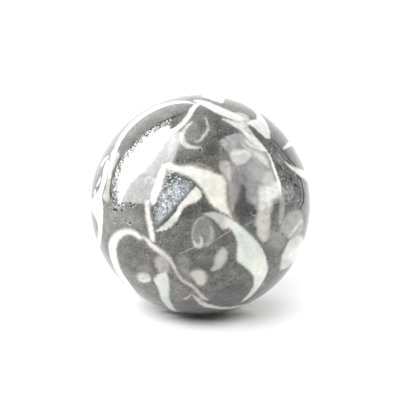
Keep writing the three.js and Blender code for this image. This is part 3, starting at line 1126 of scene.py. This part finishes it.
def composite_material(settings):
    """Grey cast composite with shells in it, polished."""
    material = bpy.data.materials.new("shell_composite")
    material.use_nodes = True
    tree = material.node_tree
    tree.nodes.clear()
    nodes = Nodes(tree)
    output = nodes.add("OutputMaterial")
    shader = nodes.add("BsdfPrincipled")
    tree.links.new(shader.outputs[0], output.inputs["Surface"])
    coordinates = nodes.add("TexCoord")
    in_mm = nodes.add("VectorMath", operation="SCALE")
    in_mm.inputs["Scale"].default_value = 1 / MM
    tree.links.new(coordinates.outputs["Object"], in_mm.inputs[0])
    place = in_mm.outputs[0]

    # Grey, and the clouds and painted shade in it
    coarse = nodes.measure("coarse").outputs["Fac"]
    streaks = nodes.scaled(nodes.noise(place, 0.5, 5.0, 0.65), 0.3, 0.7, 0.62, 1.3)
    crystals = nodes.noise(place, 0.8, 4.0, 0.75)
    sparkle = nodes.scaled(crystals, 0.45, 0.60, 0.15, 2.4)
    sparkle = nodes.math("ADD", 1.0, nodes.math("MULTIPLY", coarse, nodes.math("SUBTRACT", sparkle, 1.0)))
    colour = nodes.coat(cast_grey(nodes, place, settings), "cloud", nodes.product(streaks, sparkle))

    # Shells, with growth layers that follow their edges, and thinner cover where they end
    edge = nodes.measure("edge").outputs["Fac"]
    soft = nodes.math("MULTIPLY", nodes.measure("soft").outputs["Fac"], EDGE_BLUR)
    tint = nodes.measure("tint")
    ragged = nodes.scaled(nodes.noise(place, 0.8, 5.0, 0.68), 0.3, 0.7, -0.34, 0.34)
    torn = nodes.math("ADD", edge, ragged)
    whole = nodes.scaled(torn, soft, nodes.math("MULTIPLY", soft, -1.0), smooth=True)
    depth = nodes.scaled(torn, 0.2, -0.9, 0.72, 1.0)
    shell = nodes.product(whole, depth, tint.outputs["Alpha"])
    bands = nodes.math("MULTIPLY", edge, 1.1)
    layers = nodes.scaled(nodes.noise(place, 0.12, 4.0, 0.65, w=bands), 0.3, 0.7, 0.86, 1.18)
    chalkiness = nodes.scaled(nodes.noise(place, 0.45, 5.0, 0.65), 0.3, 0.7, 0.91, 1.12)
    shell_colour = nodes.coat(tint.outputs["Color"], "stain")
    shell_colour = nodes.shaded(shell_colour, nodes.product(layers, chalkiness))
    colour = nodes.mix(shell, colour, shell_colour)

    # The scratch, pale and broken, and dirt with painted shade in the pits and cracks
    offset = nodes.math("ABSOLUTE", nodes.measure("scratch").outputs["Fac"])
    broken = nodes.scaled(nodes.noise(place, 0.25, 3.0), 0.38, 0.62, 0.15, 0.75)
    line = nodes.product(nodes.scaled(offset, 0.26, 0.06), broken)
    colour = nodes.mix(line, colour, (*settings.pearl, 1))
    dirt = nodes.measure("dirt").outputs["Fac"]
    crumbled = nodes.scaled(nodes.noise(place, 0.7, 5.0, 0.75), 0.35, 0.65, -0.75, 0.3)
    dirt = nodes.product(dirt, nodes.scaled(nodes.math("ADD", dirt, crumbled), 0.0, 0.3))
    colour = nodes.mix(nodes.scaled(dirt, 0.02, 0.4, 0.0, 0.95), colour, (*settings.soot, 1))
    tree.links.new(colour, shader.inputs["Base Color"])

    # Polish: finest on the grey, duller on shell, coarse ground and pits
    polish = nodes.scaled(nodes.noise(place, 0.4, 3.0), 0.3, 0.7, 0.07, 0.12)
    polish = nodes.math("ADD", polish, nodes.product(shell, 0.03))
    polish = nodes.math("ADD", polish, nodes.product(dirt, 0.9))
    tree.links.new(polish, shader.inputs["Roughness"])
    shader.inputs["IOR"].default_value = RESIN_IOR
    peel = nodes.product(nodes.noise(place, 1.2, 2.0), PEEL_MM)
    bump = nodes.add("Bump")
    bump.inputs["Strength"].default_value = 1.0
    bump.inputs["Distance"].default_value = MM
    tree.links.new(peel, bump.inputs["Height"])
    tree.links.new(nodes.facets(place, FACET_MM, nodes.product(coarse, FACET_TILT)), bump.inputs["Normal"])
    tree.links.new(bump.outputs[0], shader.inputs["Normal"])
    return material


def cast_ball(settings):
    """The whole ball: turned, ground flat, pitted, and given its shells' measures and its material."""
    rng = np.random.default_rng(HIDDEN_SEED)
    front = sections(SHELLS)
    shells = front + hidden_shells(rng, front)
    channels = sections(CHANNELS)
    clouds = hidden_clouds(rng) + sections(CLOUDS_AND_SHADE)
    cracks = sections(CRACKS)
    pits = holes(rng, PITS, HIDDEN_PITS)
    rings = holes(rng, RINGS, HIDDEN_RINGS)
    ball = turn_ball()
    mesh = ball.data
    refine(ball, shells, channels, clouds, cracks, pits, rings)
    grind_flat(ball)

    places = (read_vectors(mesh.vertices, "co") - BALL_CENTRE) / MM
    edge, owner = shell_edges(shells, channels, places)
    offset = signed_offset(on_ball(smooth_line(HAIRLINE)), places)
    # Depth of the holes, and their dirt with painted shade
    depth, dirt = sunk(pits, rings, places)
    cracked = np.max([cover_of(made, places) for made in cracks], axis=0)
    depth = np.maximum(depth, CRACK_DEPTH_MM * cracked)
    dirt = np.maximum(dirt, CRACK_DIRT_AND_SHADE * cracked)
    tints = np.array([(*getattr(settings, made.tint), made.cover) for made in shells])
    softs = np.array([made.soft for made in shells])
    write_measure(mesh, "edge", edge)
    write_measure(mesh, "soft", softs[owner])
    write_tint(mesh, "tint", tints[owner])
    write_tint(mesh, "cloud", lay_coats(settings, clouds, places))
    write_tint(mesh, "stain", lay_coats(settings, sections(STAINS), places))
    write_measure(mesh, "coarse", np.max([cover_of(made, places) for made in sections(COARSE)], axis=0))
    write_measure(mesh, "scratch", offset)
    write_measure(mesh, "dirt", dirt)
    proud = settings.stand_proud / MM * smooth_step(RELIEF_EDGE_MM, -RELIEF_EDGE_MM, edge)
    groove = settings.scratch_depth / MM * smooth_step(SCRATCH_HALF_MM, 0.0, np.abs(offset))
    only_selected(ball)
    bpy.ops.object.shade_smooth()
    raise_relief(mesh, proud - groove - depth)
    mesh.materials.append(composite_material(settings))
    return ball


# The studio
CARD_DISTANCE = 1.2
FRAME_DISTANCE = CARD_DISTANCE * 1.01
GLOW_DISTANCE = CARD_DISTANCE * 1.02
RIGHT_WALL_DISTANCE = CARD_DISTANCE * 1.02
LEFT_WALL_DISTANCE = CARD_DISTANCE * 1.04
LIGHT_SHARE = 0.24
PAPER_WHITE = (0.92, 0.92, 0.92, 1)
FLOOR_SIZE = 3.0
CLIP_START = 0.01

# Name, place, target, size and share of the power
FLOOR_LAMPS = (
    ("front_floor_lamp", (-0.35, -0.92, 0.95), (0.0, 0.0, 0.0), (1.2, 0.6), 0.72),
    ("left_floor_lamp", (-1.2, -0.1, 0.8), (0.0, 0.0, 0.0), (0.6, 0.6), 0.26),
    ("right_floor_lamp", (1.2, 0.0, 0.8), (0.0, 0.0, 0.0), (0.6, 0.6), 0.18),
    ("back_floor_lamp", (0.0, 1.0, 0.9), (0.0, 1.0, 0.0), (1.6, 0.6), 0.3),
)

# Folds in the cloth at the right: their slant, number to the metre, narrowness and depth
FOLD_TURN = np.radians(25)
FOLD_NUMBER = 1.6
FOLD_CROWD = 3.0
FOLD_DEPTH = 0.4

# Where the light tent glows: the direction, and how squarely it is faced where the glow starts and is full
TENT_BACK = (0.0, 1.0, 0.15)
TENT_BACK_SPREAD = (0.3, 0.9)
TENT_LEFT = (-0.75, 0.4, 0.6)
TENT_LEFT_SPREAD = (0.55, 1.0)

# Corners of the lit cards as (back, up) for each metre aside
SOFTBOX_CORNERS = (
    (0.03, 0.0), (0.06, 0.09), (0.17, 0.18), (0.24, 0.27), (0.29, 0.37), (0.32, 0.5), (0.36, 0.66),
    (0.4, 0.8), (0.42, 1.01), (0.49, 1.3), (0.64, 1.67), (0.86, 2.13), (0.95, 2.45), (0.38, 2.49),
    (0.0, 2.2), (-0.28, 1.67), (-0.41, 1.03), (-0.36, 0.7), (-0.18, 0.35), (-0.1, 0.1), (-0.05, 0.0))
FRAME_CORNERS = (
    (0.33, 0.0), (0.34, 0.17), (0.41, 0.34), (0.42, 0.47), (0.43, 0.62), (0.50, 0.76), (0.58, 1.0),
    (0.66, 1.27), (0.87, 1.58), (1.1, 1.96), (1.45, 2.6), (2.2, 3.7), (0.38, 2.8), (0.0, 1.0), (0.0, 0.0))
GLOW_CORNERS = ((0.2, 0.45), (0.2, 2.6), (-0.2, 2.9), (-0.75, 2.3), (-0.78, 1.3), (-0.62, 0.75))
LEFT_WALL_CORNERS = (
    (0.28, 0.0), (0.54, 0.94), (0.9, 1.9), (0.0, 4.0), (-0.5, 3.7), (-1.03, 2.3), (-1.34, 0.35),
    (-0.72, 0.175), (0.0, 0.02))
RIGHT_WALL_CORNERS = (
    (-0.57, 3.56), (-0.74, 2.89), (-0.75, 2.34), (-0.86, 1.77), (-1.15, 1.73), (-1.38, 1.6),
    (-1.64, 1.39), (-1.75, 0.2), (-1.55, 0.1), (-1.42, 0.3), (-1.24, 0.44), (-1.08, 0.6), (-0.9, 0.72),
    (-0.8, 0.42), (-0.77, 0.25), (-0.64, 0.03), (0.0, 0.05), (0.06, 0.21), (0.11, 0.43), (0.22, 0.63),
    (0.33, 0.89), (0.47, 1.25), (0.46, 1.71), (0.08, 2.33))
RIGHT_SIDE_CORNERS = (
    (-0.57, 3.56), (-1.72, 2.8), (-1.76, 1.37), (-1.64, 1.39), (-1.38, 1.6), (-1.15, 1.73), (-0.86, 1.77),
    (-0.75, 2.34), (-0.74, 2.89))
RIGHT_TOP_CORNERS = ((-0.75, 2.34), (-0.74, 2.89), (-0.57, 3.56), (0.08, 2.36), (0.3, 1.95), (-0.6, 1.7))


def emission(name, level, folds):
    """A card's glow at a level, streaked by this share of it as by folds in a cloth."""
    material = bpy.data.materials.new(name)
    material.use_nodes = True
    tree = material.node_tree
    tree.nodes.clear()
    nodes = Nodes(tree)
    output = nodes.add("OutputMaterial")
    light = nodes.add("Emission")
    hung = nodes.add("Mapping")
    hung.inputs["Rotation"].default_value = (FOLD_TURN, 0, 0)
    hung.inputs["Scale"].default_value = (1, FOLD_CROWD, 1)
    tree.links.new(nodes.add("TexCoord").outputs["Object"], hung.inputs["Vector"])
    cloth = nodes.noise(hung.outputs[0], FOLD_NUMBER, 4.0, 0.6)
    streaks = nodes.scaled(cloth, 0.35, 0.65, 1 - folds, 1 + folds)
    nodes.feed(light.inputs["Strength"], nodes.product(streaks, level))
    tree.links.new(light.outputs[0], output.inputs["Surface"])
    return material


def light_only(piece, *lit):
    """Lets a lamp or card light these objects and no others."""
    group = bpy.data.collections.new(piece.name + "_lit")
    for thing in lit:
        group.objects.link(thing)
    piece.light_linking.receiver_collection = group


def light_card(name, side, distance, corners, level, folds=0.0):
    """A lit card beside the ball: its polish mirrors one copy, and a dimmer copy lights the ball."""
    points = [(side * distance, y * distance, CENTRE_HEIGHT + z * distance) for y, z in corners]
    for part, share in (("mirrored", 1.0), ("light", LIGHT_SHARE)):
        mesh = bpy.data.meshes.new(name + "_" + part)
        mesh.from_pydata(points, [], [range(len(points))])
        mesh.materials.append(emission(mesh.name, level * share, folds))
        card = bpy.data.objects.new(mesh.name, mesh)
        bpy.context.scene.collection.objects.link(card)
        card.visible_camera = False
        card.visible_shadow = False
        card.visible_diffuse = part == "light"
        card.visible_glossy = part == "mirrored"
        if part == "light":
            light_only(card, bpy.data.objects["shell_ball"])


def aimed(piece, target):
    """Turns a lamp or the camera to look at a target."""
    piece.rotation_mode = "QUATERNION"
    piece.rotation_quaternion = (Vector(target) - piece.location).to_track_quat("-Z", "Y")


def light_tent(settings):
    """White to look at, and as light brighter behind the ball and brightest behind it at the left."""
    world = bpy.data.worlds.new("light_tent")
    world.use_nodes = True
    nodes = Nodes(world.node_tree)
    background = world.node_tree.nodes["Background"]
    background.inputs["Color"].default_value = (1, 1, 1, 1)
    way = nodes.add("TexCoord").outputs["Generated"]
    level = settings.front
    for direction, spread, gain in (
        (TENT_BACK, TENT_BACK_SPREAD, settings.back),
        (TENT_LEFT, TENT_LEFT_SPREAD, settings.left_corner),
    ):
        facing = nodes.add("VectorMath", operation="DOT_PRODUCT")
        world.node_tree.links.new(way, facing.inputs[0])
        facing.inputs[1].default_value = Vector(direction).normalized()
        glow = nodes.scaled(facing.outputs["Value"], *spread, 0.0, gain, smooth=True)
        level = nodes.math("ADD", level, glow)
    seen = nodes.math("MAXIMUM", level, nodes.add("LightPath").outputs["Is Camera Ray"])
    world.node_tree.links.new(seen, background.inputs["Strength"])
    bpy.context.scene.world = world


def paper_floor():
    """A sheet of white paper, far larger than the view."""
    bpy.ops.object.select_all(action="DESELECT")
    bpy.ops.mesh.primitive_plane_add(size=FLOOR_SIZE)
    floor = bpy.context.object
    floor.name = "studio_floor"
    material = bpy.data.materials.new("white_paper")
    material.use_nodes = True
    shader = material.node_tree.nodes["Principled BSDF"]
    shader.inputs["Base Color"].default_value = PAPER_WHITE
    shader.inputs["Roughness"].default_value = 1.0
    shader.inputs["Specular IOR Level"].default_value = 0.0
    floor.data.materials.append(material)
    return floor


def floor_lamps(power, floor):
    """Soft lamps round the ball that whiten the floor up to the shadow under it."""
    for name, place, target, size, share in FLOOR_LAMPS:
        light = bpy.data.lights.new(name, "AREA")
        light.shape = "RECTANGLE"
        light.size, light.size_y = size
        light.energy = power * share
        made = bpy.data.objects.new(name, light)
        bpy.context.scene.collection.objects.link(made)
        made.location = place
        aimed(made, target)
        light_only(made, floor)


def set_studio(settings):
    """Floor, lamps, mirrored cards, white surroundings and the camera."""
    scene = bpy.context.scene
    scene.view_settings.view_transform = "Standard"
    light_tent(settings)
    floor_lamps(settings.floor_lamps, paper_floor())
    light_card("softbox", -1, CARD_DISTANCE, SOFTBOX_CORNERS, settings.softbox)
    light_card("softbox_frame", -1, FRAME_DISTANCE, FRAME_CORNERS, 0.0)
    light_card("glow", -1, GLOW_DISTANCE, GLOW_CORNERS, settings.glow)
    light_card("left_wall", -1, LEFT_WALL_DISTANCE, LEFT_WALL_CORNERS, settings.left_wall)
    light_card("right_top", 1, CARD_DISTANCE, RIGHT_TOP_CORNERS, settings.right_top, FOLD_DEPTH)
    light_card("right_wall", 1, RIGHT_WALL_DISTANCE, RIGHT_WALL_CORNERS, settings.right_wall, FOLD_DEPTH)
    light_card("right_side", 1, RIGHT_WALL_DISTANCE, RIGHT_SIDE_CORNERS, settings.right_side)

    camera = bpy.data.objects.new("camera", bpy.data.cameras.new("camera"))
    scene.collection.objects.link(camera)
    camera.data.lens = LENS_MM
    camera.data.sensor_width = SENSOR_MM
    camera.data.shift_x = (FRAME_PX / 2 - BALL_MIDDLE_PX[0]) / FRAME_PX
    camera.data.shift_y = (BALL_MIDDLE_PX[1] - FRAME_PX / 2) / FRAME_PX
    camera.data.clip_start = CLIP_START
    camera.location = BALL_CENTRE + VIEW_BACK * CAMERA_DISTANCE
    aimed(camera, BALL_CENTRE)
    scene.camera = camera


class OBJECT_OT_cast_shell_ball(bpy.types.Operator):
    """Cast the ball with its shells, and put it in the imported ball's place"""
    bl_idname = "object.cast_shell_ball"
    bl_label = "Cast Shell Ball"
    bl_options = {"REGISTER", "UNDO"}

    def execute(self, context):
        ball = cast_ball(context.scene.shell_ball)
        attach(ball, "root")
        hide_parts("ball")
        return {"FINISHED"}


class SCENE_OT_set_ball_studio(bpy.types.Operator):
    """Set the floor, the light and the camera round the ball"""
    bl_idname = "scene.set_ball_studio"
    bl_label = "Set Ball Studio"
    bl_options = {"REGISTER", "UNDO"}

    def execute(self, context):
        set_studio(context.scene.ball_studio)
        return {"FINISHED"}


class VIEW3D_PT_shell_ball(bpy.types.Panel):
    """Buttons and settings for the ball and its studio"""
    bl_label = "Shell Ball"
    bl_idname = "VIEW3D_PT_shell_ball"
    bl_space_type = "VIEW_3D"
    bl_region_type = "UI"
    bl_category = "Shell Ball"

    def draw(self, context):
        for settings, button in (
            (context.scene.shell_ball, OBJECT_OT_cast_shell_ball),
            (context.scene.ball_studio, SCENE_OT_set_ball_studio),
        ):
            box = self.layout.box()
            for name in settings.bl_rna.properties.keys():
                if name not in {"rna_type", "name"}:
                    box.prop(settings, name)
            box.operator(button.bl_idname)


CLASSES = (
    BallSettings, StudioSettings, OBJECT_OT_cast_shell_ball, SCENE_OT_set_ball_studio, VIEW3D_PT_shell_ball)


def register():
    for kind in CLASSES:
        bpy.utils.register_class(kind)
    bpy.types.Scene.shell_ball = bpy.props.PointerProperty(type=BallSettings)
    bpy.types.Scene.ball_studio = bpy.props.PointerProperty(type=StudioSettings)


def unregister():
    del bpy.types.Scene.ball_studio
    del bpy.types.Scene.shell_ball
    for kind in reversed(CLASSES):
        bpy.utils.unregister_class(kind)


def main():
    register()
    bpy.ops.object.cast_shell_ball()
    bpy.ops.scene.set_ball_studio()


if __name__ == "__main__":
    main()
